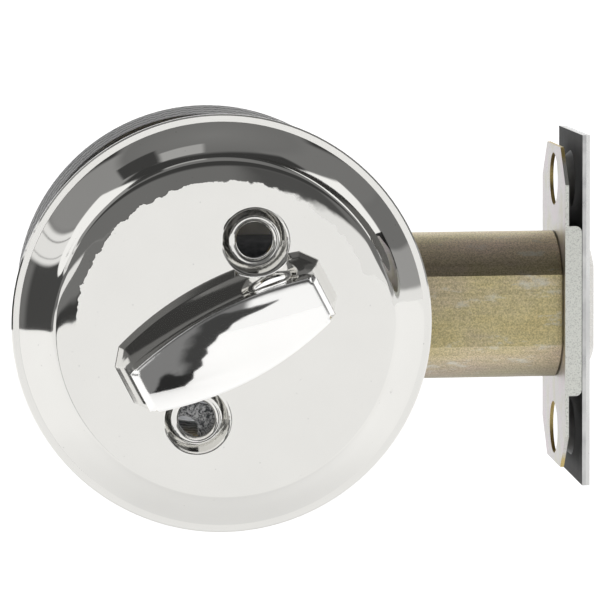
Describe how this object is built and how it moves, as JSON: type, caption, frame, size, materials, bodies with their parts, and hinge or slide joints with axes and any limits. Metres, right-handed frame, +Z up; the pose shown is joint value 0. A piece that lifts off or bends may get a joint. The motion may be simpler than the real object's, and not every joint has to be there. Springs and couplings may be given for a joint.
{
  "type": "deadlock",
  "caption": "Tubular door deadlock with a chrome thumbturn rose, a yellow plated bolt tube, a folded mounting plate and a keyed cylinder on the other side, bolt withdrawn.",
  "frame": {"origin": "Where the spindle axis crosses the bolt axis, at the middle of the door's thickness", "axes": "+X along the bolt to the faceplate, -Y to the room side, +Z up"},
  "size_m": [0.0951, 0.0957, 0.0666],
  "materials": {
    "chrome": "polished chrome plate",
    "steel": "bare machined steel",
    "zinc": "clear zinc plate",
    "yellow_zinc": "yellow passivated zinc plate",
    "plate_zinc": "pale passivated zinc plate",
    "bolt_nickel": "satin nickel plate",
    "brass": "machined brass"
  },
  "bodies": {
    "housing": {"inside_rose": "chrome", "inside_plate": "zinc", "turn_washer": "steel", "bolt_tube": "yellow_zinc", "case_inside": "yellow_zinc", "case_outside": "yellow_zinc", "case_rivets": "zinc", "tube_rivets": "zinc", "mount_plate": "plate_zinc", "backing_plate": "zinc", "faceplate": "chrome", "cylinder_guard": "chrome", "cylinder_body": "brass", "cylinder_retainer": "zinc", "screw_posts": "zinc", "retainer_screws": "zinc", "driver_pins": "brass", "pin_springs": "steel", "chamber_cover": "brass"},
    "turn": {"thumbturn": "chrome", "turn_clip": "steel", "turn_spindle": "zinc", "crank_inside": "steel", "crank_pin": "steel", "crank_outside": "steel", "tailpiece": "zinc"},
    "bolt": {"bolt_head": "bolt_nickel", "saw_pin": "steel", "bolt_tail": "steel", "tail_pin": "steel"},
    "plug": {"key_plug": "brass", "key_pins": "brass", "plug_cap": "brass"}
  },
  "joints": [
    {"name": "turn_hinge", "type": "hinge", "parent": "housing", "child": "turn", "pos_m": [0, 0, 0], "axis": [0, 1, 0], "range_deg": [0, 90]},
    {"name": "bolt_slide", "type": "slide", "parent": "housing", "child": "bolt", "axis": [1, 0, 0], "range_m": [0, 0.0254]},
    {"name": "plug_hinge", "type": "hinge", "parent": "housing", "child": "plug", "pos_m": [0, 0, 0], "axis": [0, 1, 0], "range_deg": [-90, 0]}
  ],
  "couplings": [
    {"joint": "bolt_slide", "follows": "turn_hinge", "m_per_rad": 0.01617}
  ]
}
